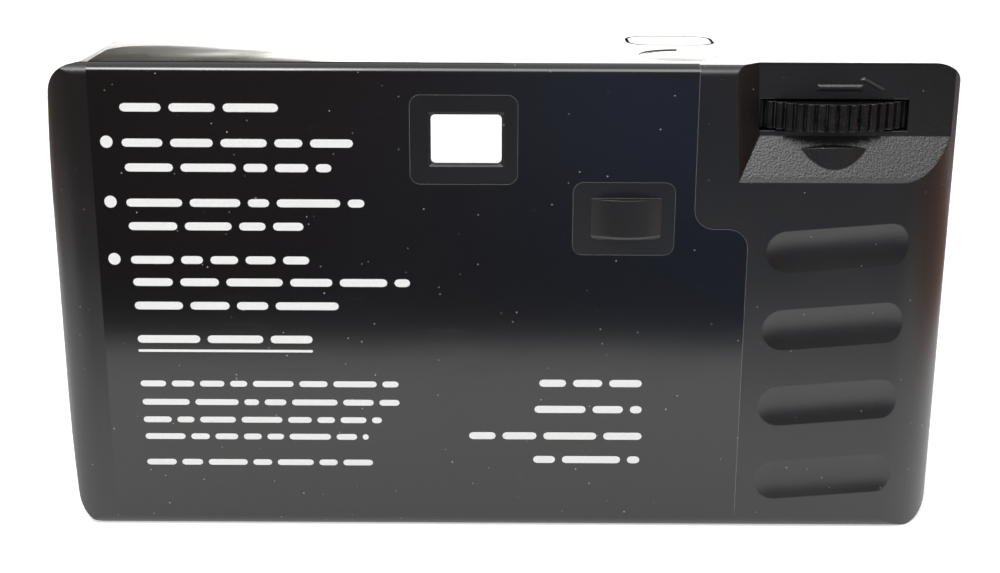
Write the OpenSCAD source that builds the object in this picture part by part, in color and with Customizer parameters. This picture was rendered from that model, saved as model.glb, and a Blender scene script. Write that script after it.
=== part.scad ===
// Single-use 35 mm film camera with flash, seen and named from the back.
// X runs to the right of the back, Y from the back to the lens, Z up from the base.
// Inside the modules depths are counted from the back face, and in_frame() moves them to the frame's origin.

/* [Covers] */
// Width over both ends
body_w = 118; // [117:0.5:124]
// Height of the covers
body_h = 63; // [62.5:0.5:67]
// Depth of the two covers without the lens barrel
body_d = 33; // [32.5:0.5:38]
// Wall thickness of the covers
wall = 1.2; // [1:0.1:1.4]
// Corner radius seen from the back
corner_r = 4.4; // [3.5:0.1:6]
// Plan radius of the left back edge
left_edge_r = 4.8; // [3:0.1:6]
// Plan radius of the right back edge, where the thumb rolls off
right_edge_r = 8.3; // [6:0.1:9]
// Plan radius of both front edges
front_edge_r = 5; // [4:0.1:6]
// Radius of the long top and bottom edges
fold_r = 1.5; // [1.4:0.1:2]
// How far the left end bulges at mid height
side_crown = 1.1; // [0.6:0.1:1.6]
// Depth of the back cover, from the back face to the parting line
split_d = 16; // [15.5:0.1:17]
// Length of the tongue that centres the back cover in the front cover
tongue_l = 1.6; // [1:0.1:2]
// Thickness of the tongue
tongue_t = 0.5; // [0.4:0.05:0.6]

/* [Thumb recess] */
// Length of the recess along the back, from the right end
recess_w = 30; // [28:0.5:30.5]
// Height of the recess, from the top down to its lower edge
recess_h = 14.9; // [14.5:0.1:15.5]
// Depth of the set-in panel
recess_d = 3.2; // [2.8:0.1:3.4]
// Height of the ramp between the lower edge and the panel
ramp_h = 5.5; // [4.5:0.1:6]
// How much further right the recess starts at its foot
recess_lean = 0.8; // [0:0.1:2]
// How far the recess's left wall slopes in, down to the panel
recess_slope = 3.2; // [1:0.1:4]
// Radius of the thumb nub on the ramp
nub_r = 6.9; // [6:0.1:7.5]
// Depth of the nub's face behind the back
nub_face_d = 0.9; // [0.6:0.1:1.2]
// Height of the nub's top above the recess's lower edge
nub_top_h = 4.4; // [4:0.1:4.8]
// How much higher the nub's top is in the middle
nub_arch = 0.45; // [0.2:0.05:0.8]

/* [Grip grooves] */
// Number of scooped grooves
groove_count = 4; // [2:1:4]
// Length of a groove
groove_len = 18.8; // [14:0.1:19]
// Height of a groove on the back
groove_w = 5.5; // [4:0.1:6]
// Depth of a groove in its middle
groove_depth = 0.5; // [0.3:0.05:0.6]
// Height of the lowest groove's middle
groove_low_z = 7.6; // [7:0.1:9]
// Distance of the top groove's middle below the recess
groove_top_gap = 8.6; // [8.5:0.1:14]
// Tilt of the grooves in degrees
groove_tilt = 4.7; // [0:0.1:8]
// Distance of the grooves' middle from the right end
groove_inset = 15.8; // [15:0.1:17]

/* [Bump] */
// Width of the raised bump
bump_w = 9; // [7:0.1:10]
// Height of the bump on the back
bump_tall = 5.3; // [4:0.1:6]
// How far the bump stands out
bump_h = 1.2; // [1.1:0.1:1.6]
// Radius of the bump's lower edge
bump_edge_r = 0.5; // [0.2:0.1:0.8]
// Bump's middle, to the left of the recess
bump_from_recess = 13.4; // [12:0.1:15]
// Bump's middle below the top
bump_drop = 19.7; // [19:0.1:21]

/* [Viewfinder] */
// Width of the finder opening
finder_w = 9; // [7:0.1:9.4]
// Height of the finder opening
finder_h = 6.4; // [5:0.1:6.8]
// Finder axis, to the right of the lens axis
finder_x = -4.9; // [-6:0.1:-4.5]
// Finder axis below the top
finder_drop = 9.5; // [9:0.1:9.8]
// Bevel round the finder opening
finder_bevel = 0.25; // [0.1:0.05:0.5]
// Width and height of the finder tube at its front
finder_front = [13, 11.6]; // [10:0.1:13]
// Middle of the finder's front below the top
finder_front_drop = 11.5; // [11:0.1:12]

/* [Label] */
// Thickness of the label
label_t = 0.12; // [0.08:0.01:0.2]
// Left end of the label, from the left end of the covers
label_left = 6.6; // [6:0.1:8]
// Distance of the label's upper right edge from the recess
label_top_gap = 4.6; // [4:0.1:6]
// How far the label's lower part runs on below the recess
label_low_over = 2.4; // [0:0.1:3.5]
// Middle of the step between them, below the recess
label_step_drop = 6.1; // [5:0.1:10]
// Radius of the step's two bends
label_step_r = 2.6; // [1.5:0.1:3]
// Depth of the flap on the top
flap_d = 15; // [14:0.1:15.2]
// Corner radius of the flap
flap_r = 5; // [3:0.1:6]
// Margin of the label windows round the opening and the bump
label_margin = [2.3, 2.5]; // [1.5:0.1:3]
// Margin of the label window round the bump
bump_margin = [2, 2.1]; // [1.5:0.1:2.5]
// How far the label windows sit to the left of the opening and the bump
label_window_shift = 0.3; // [0:0.1:0.5]
// Corner radius of the label windows
label_window_r = 1.3; // [0.5:0.1:2]

/* [Thumbwheel] */
// Radius over the knurl
wheel_r = 14.2; // [13.8:0.1:14.4]
// Thickness of the wheel
wheel_t = 3.5; // [3:0.1:3.8]
// Number of knurls
knurls = 64; // [40:2:72]
// Height of a knurl
knurl_h = 0.7; // [0.3:0.05:0.8]
// Wheel axis from the right end
wheel_inset = 16.9; // [16.7:0.1:17.5]
// How far the wheel stands out of the recess's panel
wheel_show = 2.7; // [2.2:0.1:2.8]
// Wheel's top below the top of the covers
wheel_drop = 4.95; // [4.9:0.05:5.2]
// Width of the slot the wheel comes through
slot_w = 19; // [18:0.1:20]

/* [Film] */
// Cassette radius over its end caps
cassette_r = 12.5; // [12:0.1:12.6]
// Height above the cassette, for its knob, the wheel and the deck
head_h = 14.5; // [14.5:0.1:15]
// How much longer the cassette is than the film is wide
cassette_ends = 12; // [11.5:0.1:13]
// Film edge beside the picture, with its perforations
film_margin = 5.5; // [5:0.1:6]
// Thickness of the film
film_t = 0.14; // [0.12:0.01:0.16]
// Radius that the film plane is bent to
film_bend_r = 300; // [250:10:400]
// Picture width
gate_w = 36; // [34:0.5:36]
// Radius of the unexposed film roll
roll_r = 8.3; // [7:0.1:8.6]
// Teeth of the film sprocket
sprocket_teeth = 8; // [8:1:8]
// Pitch of the film's perforations
perforation_pitch = 4.75; // [4.7:0.01:4.8]

/* [Controls] */
// Shutter button width
button_w = 12; // [10:0.1:13]
// Shutter button depth
button_d = 9; // [8:0.1:9.4]
// Shutter button travel
button_travel = 1.2; // [0.8:0.1:1.4]
// How far the shutter button stands out of the top
button_h = 0; // [-0.3:0.1:0.4]
// Counter window diameter
window_dia = 9.3; // [8:0.1:9.6]
// Flash button diameter
flash_button_dia = 9; // [8:0.1:10]
// Flash button travel
flash_travel = 1.2; // [0.8:0.1:1.2]
// Radius of the counter dial
dial_r = 5.7; // [5:0.1:5.8]
// Marks on the counter dial
dial_marks = 30; // [20:1:40]

/* [Optics] */
// Diameter of the taking lens
lens_dia = 9; // [8:0.1:9.4]
// How far the lens barrel stands out of the front
barrel_h = 3.2; // [2.5:0.1:5]
// Radius of the lens barrel at its root
barrel_r = 12.8; // [11:0.1:14]
// Diameter of the fixed aperture
aperture_dia = 3; // [2:0.1:3.6]

/* [Flash and power] */
// Flash window width
flash_w = 22; // [18:0.5:22]
// Flash window height
flash_h = 12.4; // [10:0.1:13]
// Battery diameter
battery_dia = 14.5; // [14:0.1:14.5]
// Room beside the battery for its contacts, up to the cassette chamber
battery_ends = 4.55; // [4.5:0.05:6]
// Radius of the flash capacitor
capacitor_r = 4.75; // [4:0.05:4.9]

/* [Fits] */
// Gap between pieces that move past each other
gap = 0.3; // [0.25:0.05:0.35]
// Radial clearance of a shaft in its bore
fit = 0.06; // [0.03:0.01:0.09]
// Wall of the inner frame
frame_t = 1; // [0.8:0.1:1.1]

/* [Hidden] */
$fn = 64;
// Sides of the very large circles, so that their chords stay close to the arcs
fine = 720;

right_x = body_w/2;
left_x = -body_w/2;
inner_top = body_h - wall;
inner_front = body_d - wall;
// Depth of the frame's origin, which is the middle of the whole depth
middle_d = (body_d + barrel_h - bump_h)/2;

// Thumb recess, and what follows it on the back
recess_z = body_h - recess_h;
recess_x = right_x - recess_w;
ramp_l = sqrt(recess_d*recess_d + ramp_h*ramp_h);
groove_pitch = (recess_z - groove_top_gap - groove_low_z)/(groove_count - 1);
bump_x = recess_x - bump_from_recess;
label_top_x = recess_x - label_top_gap;
label_low_x = recess_x + label_low_over;
label_step_z = recess_z - label_step_drop;

// Thumbwheel, cassette and film plane
wheel_x = right_x - wheel_inset;
wheel_d = recess_d - wheel_show + wheel_r;
wheel_top = body_h - wheel_drop;
wheel_low = wheel_top - wheel_t;
cassette_z = wall + gap;
cassette_h = body_h - head_h - cassette_z;
cassette_top = cassette_z + cassette_h;
film_w = cassette_h - cassette_ends;
gate_h = film_w - 2*film_margin;
film_z = cassette_z + cassette_h/2;
film_low = film_z - film_w/2;
film_high = film_z + film_w/2;
film_d = wall + 1.2;
// Half length of the bent film, up to the run into the cassette
film_run = 5.6;
film_half = wheel_x - cassette_r - film_run;
film_end_d = film_d + film_bend_r - sqrt(film_bend_r*film_bend_r - film_half*film_half);
film_tilt = asin(film_half/film_bend_r);
spool_r = 5.4;
knob_h = 4.5;
chamber_r = cassette_r + gap;
chamber_top = cassette_top + gap;
plate_t = 1.2;

// Supply roll, set so that the film runs straight from the roll to the gate
supply_x = -wheel_x;
supply_d = film_end_d + (roll_r + gap + film_t/2 + (-supply_x - film_half)*sin(film_tilt))/cos(film_tilt);
flange_t = 0.8;
flange_gap = 0.2;
supply_chamber_r = roll_r + 1.4;

// Deck of the mechanism, hung from the top with the finder
finder_z = body_h - finder_drop;
deck_top = body_h - 14.8;
deck_t = 1.2;
tube_w = finder_w + 1;
tube_h = finder_h + 1;
tube_t = 0.9;
finder_lens_t = 2;
finder_at = [finder_x, finder_z];
finder_front_at = [finder_x, body_h - finder_front_drop];

// Exposure unit in front of the light tunnel
lens_at = [0, film_z];
tunnel_front = body_d - 7.6;
tunnel_t = frame_t;
tunnel_mouth = 10;
blade_t = 0.3;
blade_d = tunnel_front + frame_t + 0.5;
plate_d = blade_d + blade_t + 0.6;
blade_pivot = lens_at + [9.5, 8];
blade_r = 4.5;
blade_tab_l = 7;
spring_post_x = blade_pivot[0] + 4;
spring_z = blade_pivot[1] + 4.4;
port_r = 2.9;
pivot_r = 1;
aperture_t = 1;
seat_d = plate_d + aperture_t;
seat_h = 2.9;
seat_t = 1.4;
retainer_t = 0.8;
barrel_hole_r = lens_dia/2 + seat_t + 0.2;
battery_r = battery_dia/2;
battery_z = wall + gap + battery_r;
bay_roof = battery_z + battery_r + gap;
unit_left = -8;
unit_right = 13.4;
unit_low = bay_roof + frame_t;
unit_high = film_z + 12;

// Shafts, levers and buttons on the deck
shaft_r = 1.5;
sprocket_inset = 7;
sprocket_x = film_half - sprocket_inset;
sprocket_r = sprocket_teeth*perforation_pitch/(2*PI);
sprocket_tip_r = sprocket_r + 1;
sprocket_d = film_d + film_bend_r - sqrt(film_bend_r*film_bend_r - sprocket_x*sprocket_x) + sprocket_r;
sprocket_z = film_high - 3.4;
sprocket_t = 3;
window_reach = 19.4;
window_x = wheel_x - window_reach;
window_d = 8.2;
window_flange = 0.9;
dial_x = window_x + 3.5;
dial_d = window_d + 2.2;
dial_t = 1.4;
dial_top = inner_top - window_flange - 0.5;
dial_pin_r = 1;
button_x = window_x;
button_y = split_d + 6.5;
button_corner_r = 3;
flange_w = 0.8;
flange_h = 0.9;
stem_r = 2;
stem_tip_r = 0.8;
cover_z = deck_top + 7.3;
cover_t = 1;
// Tip of the button's stem, pressed and at rest
stem_pressed = cover_z - 3.1;
stem_low = stem_pressed + button_travel;
cam_z = deck_top + 1;
cam_h = 2;
cam_r = 3;
cam_offset = 1;
striker_at = [blade_pivot[0] - 1, sprocket_d + 11];
striker_z = cam_z;
follower_r = 0.9;
lever_t = 1.4;
lock_reach = 6;
lock_edge = 1.3;
lock_arm_r = 1;
catch_l = 4;
lock_at = [button_x - lock_edge - lock_arm_r, button_y - lock_reach];
lock_z = striker_z + cam_h + 0.6;
post_r = 1.2;
cover_left = finder_x + finder_front[0]/2 + tube_t + gap;

// Flash and battery
board_d = body_d - 8;
board_t = 1.2;
board_front = board_d + board_t;
flash_x = supply_x;
board_split_x = flash_x + flash_w/2 + 1.1;
board_right = unit_left - 6.5;
board_low = wall + 3;
flash_z = finder_z - 0.5;
reflector_t = 0.4;
reflector_r = flash_h/2;
shelf_z = flash_z - reflector_r - reflector_t;
shelf_t = 1.5;
flash_button_at = [supply_x + 2, film_z - 3];
battery_d = inner_front - gap - battery_r;
battery_l = 2*(wheel_x - chamber_r - battery_ends);
contact_t = 0.45;
contact_w = 8;
knob_l = 0.95;
bay_x = battery_l/2 + 1 + contact_t;
capacitor_x = (board_split_x + board_right)/2;
groove_r = 0.7;
core = [9, 8, 8.5];
core_t = 2;
bobbin_r = 3.6;
trigger_r = 2.3;
trigger_l = 8;
resistor_r = 1.1;
resistor_l = 6;
resistor_pitch = 3.2;
chip = [4, 4, 6];
diode_r = 1.6;
glass_r = 1.6;
glass_d = inner_front - 4.2;
glass_cap_l = 2;
lamp_r = 1.5;
lamp_at = [capacitor_x, board_front + 2.2];

// Colours
black = "#1c1c1e";
dark = "#2a2a2c";
clear = "#dfe8ea";
steel = "#b9bcc0";
brass = "#c9a860";
film_brown = "#5b4636";

// Same radius at all four corners
function all_corners(r) = [r, r, r, r];

// Area outside a quarter circle, to cut one corner round
module corner_cut(r) {
    over = 1;
    difference() {
        translate([-over, -over]) square(r + over);
        translate([r, r]) circle(r);
    }
}

// Rectangle with round corners, radii anticlockwise from the low corner
module round_rect(low, high, r) {
    difference() {
        translate(low) square(high - low);
        translate(low) corner_cut(r[0]);
        translate([high[0], low[1]]) mirror([1, 0]) corner_cut(r[1]);
        translate(high) mirror([1, 0]) mirror([0, 1]) corner_cut(r[2]);
        translate([low[0], high[1]]) mirror([0, 1]) corner_cut(r[3]);
    }
}

// Rectangle with equal round corners about a middle
module round_box(middle, size, r) round_rect(middle - size/2, middle + size/2, all_corners(r));

module along_x(x0, x1) translate([x0, 0, 0]) rotate([90, 0, 90]) linear_extrude(x1 - x0) children();
module along_y(d0, d1) translate([0, d1, 0]) rotate([90, 0, 0]) linear_extrude(d1 - d0) children();
module along_z(z0, z1) translate([0, 0, z0]) linear_extrude(z1 - z0) children();
module block(low, high) translate(low) cube(high - low);
module post(at, r, z0, z1) translate([at[0], at[1], z0]) cylinder(r = r, h = z1 - z0);
// Cylinder that runs forward, at a place on the front
module bar(at, r, d0, d1) translate([at[0], d0, at[1]]) rotate([-90, 0, 0]) cylinder(r = r, h = d1 - d0);
module in_frame(shade) color(shade) translate([0, -middle_d, 0]) children();

// Outline seen from the back, with the bulged left end, whose crest the plan outline trims flat
module back_outline(inset) {
    half = body_h/2 - corner_r;
    trim = 0.03;
    bulge_r = arc_radius(half, side_crown);
    round_rect([left_x + side_crown + inset, inset], [right_x - inset, body_h - inset],
        all_corners(corner_r - inset));
    intersection() {
        translate([left_x - trim + bulge_r, body_h/2]) circle(bulge_r - inset, $fn = fine);
        translate([left_x - 1, corner_r]) square([side_crown + 2 + inset, 2*half]);
    }
}

module plan_outline(inset) round_rect([left_x + inset, inset], [right_x - inset, body_d - inset],
    [left_edge_r - inset, right_edge_r - inset, front_edge_r - inset, front_edge_r - inset]);

module side_outline(inset) round_rect([inset, inset], [body_d - inset, body_h - inset],
    all_corners(fold_r - inset));

// Closed form of the two covers, taken in by an inset
module body_form(inset) intersection() {
    along_y(-1, body_d + 1) back_outline(inset);
    along_z(-1, body_h + 1) plan_outline(inset);
    along_x(left_x - 1, right_x + 1) side_outline(inset);
}

module depth_slice(d0, d1) intersection() {
    children();
    block([left_x - 2, d0, -2], [right_x + 2, d1, body_h + 2]);
}

// Everything behind the film plane, moved forward by a shift
module behind_film(shift) difference() {
    block([-film_half, -1, 0], [film_half, film_end_d + 2, body_h]);
    post([0, film_d + film_bend_r], film_bend_r - shift, -1, body_h + 1, $fn = fine);
}

// Lower end of the ramp, and a point on it at a depth, grown into the body by a wall
function ramp_foot(grow) = [grow*ramp_h/ramp_l, recess_z - grow*recess_d/ramp_l];
function ramp_point(grow, d) = let (foot = ramp_foot(grow)) [d, foot[1] + (d - foot[0])*ramp_h/recess_d];

// Point of the sloping left wall at a depth, measured from the wall's foot
function slope_point(grow, d) = let (l = norm([recess_slope, recess_d]))
    [(d - grow*recess_slope/l)*recess_slope/recess_d - grow*recess_d/l, d];

// Thumb recess, grown into the body by a wall
module recess_space(grow) {
    outside = -3;
    over = body_h + 2;
    deep = recess_d + grow;
    far = right_x - recess_x + 4;
    intersection() {
        along_x(recess_x - 9, right_x + 2)
            polygon([ramp_point(grow, outside), ramp_point(grow, deep), [deep, over], [outside, over]]);
        translate([recess_x + recess_lean, 0, recess_z]) rotate([0, -atan(recess_lean/recess_h), 0])
            along_z(-recess_h, 2*recess_h)
                polygon([slope_point(grow, outside), slope_point(grow, deep), [far, deep], [far, outside]]);
    }
}

// Radius of an arc from half its chord and its rise
function arc_radius(half, rise) = (half*half + rise*rise)/(2*rise);

// Upright half cylinder on the ramp, with an arched top
module thumb_nub() {
    reach = recess_d*nub_top_h/ramp_h - nub_face_d;
    half = sqrt(nub_r*nub_r - (nub_r - reach)*(nub_r - reach));
    arch_r = arc_radius(half, nub_arch);
    intersection() {
        post([wheel_x, nub_face_d + nub_r], nub_r, recess_z - 2, body_h);
        recess_space(wall/2);
        along_y(0, recess_d + wall) translate([wheel_x, recess_z + nub_top_h - arch_r]) circle(arch_r);
    }
}

// Rod with ball ends along X, length between the balls' middles
module capsule(r, length) rotate([0, 90, 0]) rotate_extrude() intersection() {
    union() {
        translate([0, -length/2]) square([r, length]);
        for (side = [-1, 1]) translate([0, side*length/2]) circle(r);
    }
    translate([0, -length/2 - r]) square([r, length + 2*r]);
}

// Scooped finger grooves, each cut by a thick rod that just dips into the back
module grip_grooves() {
    r = arc_radius(groove_w/2, groove_depth);
    for (i = [0 : groove_count - 1]) depth_slice(-1, wall)
        translate([right_x - groove_inset, groove_depth - r, groove_low_z + i*groove_pitch])
            rotate([0, -groove_tilt, 0]) capsule(r, groove_len - groove_w);
}

// Bump with a bowed face and a round lower edge
module bump() {
    r = arc_radius(bump_w/2, bump_h);
    depth_slice(-bump_h - 1, wall/2)
        translate([bump_x, r - bump_h, body_h - bump_drop - bump_tall/2]) rotate_extrude() difference() {
            square([r, bump_tall]);
            translate([r, 0]) mirror([1, 0]) corner_cut(bump_edge_r);
        }
}

// Ribs inside the back that keep the film flat
module film_platen() {
    rib_t = 1.2;
    low = film_z - gate_h/2 - 1;
    intersection() {
        for (i = [-2 : 2]) translate([i*gate_w*2/9, 0, 0])
            block([-rib_t/2, wall/2, low], [rib_t/2, film_end_d + 1, low + gate_h]);
        behind_film(-film_t/2 - 0.1);
    }
}

// Opening with four bevelled sides, wider at the back face
module bevel_opening(at, size, bevel) {
    intersection() {
        along_x(at[0] - size[0], at[0] + size[0]) polygon([[-1, at[1] - size[1]/2 - bevel - 1],
            [bevel, at[1] - size[1]/2], [bevel, at[1] + size[1]/2], [-1, at[1] + size[1]/2 + bevel + 1]]);
        along_z(at[1] - size[1], at[1] + size[1]) polygon([[at[0] - size[0]/2 - bevel - 1, -1],
            [at[0] - size[0]/2, bevel], [at[0] + size[0]/2, bevel], [at[0] + size[0]/2 + bevel + 1, -1]]);
    }
    along_y(0, wall + 1) round_box(at, size, 0.6);
}

// Rim of the back cover, stepped back inside to take the front cover's tongue
module tongue_room(clear_by) difference() {
    depth_slice(split_d - tongue_l - clear_by, split_d + 1) body_form(wall - tongue_t - clear_by);
    depth_slice(split_d - tongue_l - 1, split_d + 2) body_form(wall);
}

module back_cover() in_frame(black) {
    pin_r = shaft_r + fit;
    boss_low = wheel_top + gap;
    difference() {
        union() {
            difference() {
                depth_slice(-1, split_d) body_form(0);
                difference() {
                    body_form(wall);
                    recess_space(wall);
                }
                recess_space(0);
            }
            thumb_nub();
            bump();
            film_platen();
            depth_slice(0, split_d) post([wheel_x, wheel_d], shaft_r + 1.6, boss_low, inner_top + wall/2);
        }
        block([wheel_x - slot_w/2, -1, wheel_low - gap],
            [wheel_x + slot_w/2, recess_d + wall + 1, wheel_top + gap]);
        depth_slice(0, recess_d + wall + 1)
            post([wheel_x, wheel_d], wheel_r + gap, wheel_low - gap, wheel_top + gap);
        post([wheel_x, wheel_d], pin_r, boss_low - 1, inner_top - wall/2);
        grip_grooves();
        bevel_opening(finder_at, [finder_w, finder_h], finder_bevel);
        post([window_x, window_d], window_dia/2 + fit, inner_top - 1, body_h + 1);
        tongue_room(0.1);
    }
}

module front_cover() in_frame(black) {
    mouth_r = barrel_r - 4.4;
    lip_r = lens_dia/2 - 0.3;
    face = body_d + barrel_h;
    edge = 0.4;
    difference() {
        union() {
            difference() {
                depth_slice(split_d, body_d + 1) body_form(0);
                body_form(wall);
                bar(lens_at, barrel_hole_r, body_d - wall - 1, body_d);
            }
            tongue_room(0);
            translate([0, 0, film_z]) rotate([-90, 0, 0]) rotate_extrude()
                polygon([[barrel_hole_r, body_d - wall/2], [barrel_r, body_d - wall/2],
                    [barrel_r, body_d + edge], [barrel_r - 1, face - edge], [barrel_r - 1 - edge, face],
                    [mouth_r, face], [lip_r, body_d + 0.6], [lip_r, body_d], [barrel_hole_r, body_d]]);
        }
        along_y(inner_front - 1, body_d + 1) {
            round_box(finder_front_at, finder_front + [1.1, 1.1], 1.1);
            round_box([flash_x, flash_z], [flash_w, flash_h], 1.5);
        }
        bar(flash_button_at, flash_button_dia/2 + fit, inner_front - 1, body_d + 1);
        along_z(inner_top - 1, body_h + 1)
            round_box([button_x, button_y], [button_w + 2*fit, button_d + 2*fit], button_corner_r + fit);
        post(lamp_at, lamp_r + fit, inner_top - 1, body_h + 1);
    }
}

// Outline of the label on the back, with its stepped right edge and two windows
module label_outline() {
    r = label_step_r;
    left = left_x + label_left;
    high = body_h + 1;
    window = [finder_w, finder_h] + 2*label_margin;
    difference() {
        union() {
            translate([left, fold_r]) square([label_top_x - left, high - fold_r]);
            round_rect([left, fold_r], [label_low_x, label_step_z], [0.8, 0.8, r, 0.1]);
            difference() {
                translate([label_top_x - 1, label_step_z - 1]) square([r + 1, r + 1]);
                translate([label_top_x + r, label_step_z + r]) circle(r);
            }
        }
        translate([-label_window_shift, 0]) {
            round_box(finder_at, window, label_window_r);
            round_box([bump_x, body_h - bump_drop], [bump_w, bump_tall] + 2*bump_margin, label_window_r);
        }
    }
}

module wrap_label() in_frame(black) intersection() {
    along_x(left_x, right_x) difference() {
        side_outline(-label_t);
        side_outline(0);
    }
    union() {
        along_y(-1, fold_r + 0.2) label_outline();
        along_z(body_h - fold_r/2, body_h + 1) difference() {
            round_rect([left_x + label_left, -1], [label_top_x, flap_d], [0.3, 0.3, flap_r, flap_r]);
            translate([window_x, window_d]) circle(window_dia/2 + 0.8);
        }
    }
}

// Frustum with flat sides between two upright rectangles, each with its middle, size and depth
module tapered_box(at0, size0, d0, at1, size1, d1) intersection() {
    along_z(0, body_h) polygon([[at0[0] - size0[0]/2, d0], [at0[0] + size0[0]/2, d0],
        [at1[0] + size1[0]/2, d1], [at1[0] - size1[0]/2, d1]]);
    along_x(-body_w, body_w) polygon([[d0, at0[1] - size0[1]/2], [d0, at0[1] + size0[1]/2],
        [d1, at1[1] + size1[1]/2], [d1, at1[1] - size1[1]/2]]);
}

// Curved plate that the film slides on
module gate_plate() {
    face = 0.15 + film_t/2;
    left = supply_x + supply_chamber_r - 2.8;
    right = wheel_x - chamber_r + 1.2;
    intersection() {
        block([left, 0, wall], [right, body_d, deck_top]);
        difference() {
            post([0, film_d + film_bend_r], film_bend_r - face, wall, deck_top, $fn = fine);
            post([0, film_d + film_bend_r], film_bend_r - face - 1.4, 0, body_h, $fn = fine);
        }
    }
}

// Round film chamber, open towards the back
module chamber(at, r, z0, z1, open_d) difference() {
    post(at, r + frame_t, z0, z1);
    post(at, r, z0 - 1, z1 + 1);
    block([at[0] - 2*r, -1, z0 - 1], [at[0] + 2*r, open_d, z1 + 1]);
}

module chamber_plate(at, r, z0, z1, bore_r, open_d) difference() {
    post(at, r + frame_t, z0, z1);
    post(at, bore_r, z0 - 1, z1 + 1);
    block([at[0] - 2*r, -1, z0 - 1], [at[0] + 2*r, open_d, z1 + 1]);
}

supply_low = film_low - flange_gap - flange_t - gap;
supply_high = film_high + flange_gap + flange_t + gap;
hub_r = spool_r + 1.6;
supply_pivot_r = 2;

module film_chambers() {
    supply = [supply_x, supply_d];
    wheel = [wheel_x, wheel_d];
    supply_open = film_end_d + 2.2;
    wheel_open = film_end_d + 3.6;
    side_x = wheel_x - chamber_r;
    chamber(supply, supply_chamber_r, supply_low - frame_t, shelf_z, supply_open);
    for (z = [supply_low - frame_t, supply_high])
        chamber_plate(supply, supply_chamber_r, z, z + frame_t, supply_pivot_r + fit, supply_open);
    chamber(wheel, chamber_r, wall + plate_t, chamber_top + plate_t, wheel_open);
    chamber_plate(wheel, chamber_r, chamber_top, chamber_top + plate_t, hub_r + fit, wheel_open);
    // Web between the gate and the cassette chamber, clear of the cassette's lip
    block([side_x - 0.8, film_end_d + 1, wall], [side_x + 1.2, film_end_d + 6, deck_top]);
    // Ear that carries the pawl
    block([wheel_x - 9.8, wheel_d + 11, chamber_top], [wheel_x - 6.6, wheel_d + 15.3, chamber_top + plate_t]);
}

module light_tunnel() {
    gate = [gate_w, gate_h];
    front = [tunnel_mouth, 1.3*(film_z - unit_low)];
    edge = 2*[tunnel_t, tunnel_t];
    inset = 1.2;
    difference() {
        union() {
            tapered_box(lens_at, gate + edge, film_d + 1, lens_at, front + edge, tunnel_front + frame_t);
            block([unit_left, tunnel_front, unit_low], [unit_right, tunnel_front + frame_t, unit_high]);
            // Standoffs of the aperture plate
            for (at = [[unit_left + inset, unit_low + inset], [unit_left + inset, unit_high - inset],
                    [unit_right - inset, unit_high - inset]])
                bar(at, 1, tunnel_front, plate_d);
            bar(blade_pivot, pivot_r, tunnel_front, plate_d);
        }
        tapered_box(lens_at, gate, film_d - 1, lens_at, front, tunnel_front);
        bar(lens_at, port_r, tunnel_front - 1, body_d);
    }
}

module deck() {
    left = supply_x + supply_chamber_r;
    right = wheel_x - chamber_r - 0.2;
    z0 = deck_top - deck_t;
    tube = [tube_w, tube_h];
    tube_rear = wall + finder_lens_t + 0.1;
    tube_front = inner_front - 0.4;
    tube_foot_l = 8;
    edge = 2*[tube_t, tube_t];
    difference() {
        union() {
            block([left, film_end_d + 1.2, z0], [right, board_d - 0.3, deck_top]);
            block([board_right + 1, board_d - 1, z0], [right, tunnel_front + frame_t, deck_top]);
            // Finder tube, which flares to the front, and its foot on the deck
            tapered_box(finder_at, tube + edge, tube_rear, finder_front_at, finder_front + edge, tube_front);
            along_y(tube_rear, tube_rear + tube_foot_l) translate([finder_x - tube_w/2, z0])
                square([tube_w, finder_z - z0]);
            // Wall that ties the deck to the front of the light tunnel
            block([unit_left, tunnel_front, unit_high - 1],
                [blade_pivot[0] - 8, tunnel_front + frame_t, deck_top]);
            for (at = cover_posts) post(at, post_r + 0.3, z0, cover_z);
            post([dial_x, dial_d], dial_pin_r + 0.4, z0, dial_top - dial_t - gap);
            post([dial_x, dial_d], dial_pin_r, z0, dial_top - 0.2);
            post(striker_at, post_r, z0, striker_z + cam_h + 0.3);
            post(lock_at, post_r, z0, lock_z + lever_t + 0.3);
            // Ledge under the lock lever
            post(lock_at, post_r + 0.8, z0, lock_z - gap);
            post(striker_at, post_r + 0.8, z0, striker_z - gap);
        }
        post([sprocket_x, sprocket_d], shaft_r + fit, z0 - 1, deck_top + 1);
        tapered_box(finder_at, tube, tube_rear - 1, finder_front_at, finder_front, tube_front + 1);
    }
    // Post that anchors the blade's spring
    block([spring_post_x, tunnel_front, spring_z - 1], [spring_post_x + 1, blade_d + 0.3, deck_top]);
    // Lower bearing of the sprocket shaft
    difference() {
        block([sprocket_x - 3, film_end_d, sprocket_z - gap - 1.2],
            [sprocket_x + 3, sprocket_d + 3, sprocket_z - gap]);
        post([sprocket_x, sprocket_d], shaft_r + fit, sprocket_z - 3, sprocket_z);
    }
}
cover_posts = [[cover_left + 1.6, film_end_d + 4], [cover_left + 1.6, board_d - 1.6],
    [button_x + 1.9, board_d + 1.2]];

module battery_bay() {
    rear = battery_d - 4.5;
    for (side = [-1, 1]) {
        x = side*(bay_x + frame_t/2 + 0.05);
        block([x - frame_t/2, rear, wall], [x + frame_t/2, battery_d + 5, bay_roof]);
    }
    block([-bay_x - frame_t, rear, bay_roof], [bay_x + frame_t, tunnel_front + frame_t, bay_roof + frame_t]);
}

// Room for the sprocket's teeth
module sprocket_room() post([sprocket_x, sprocket_d], sprocket_tip_r + gap,
    sprocket_z - gap, sprocket_z + sprocket_t + gap);

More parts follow.
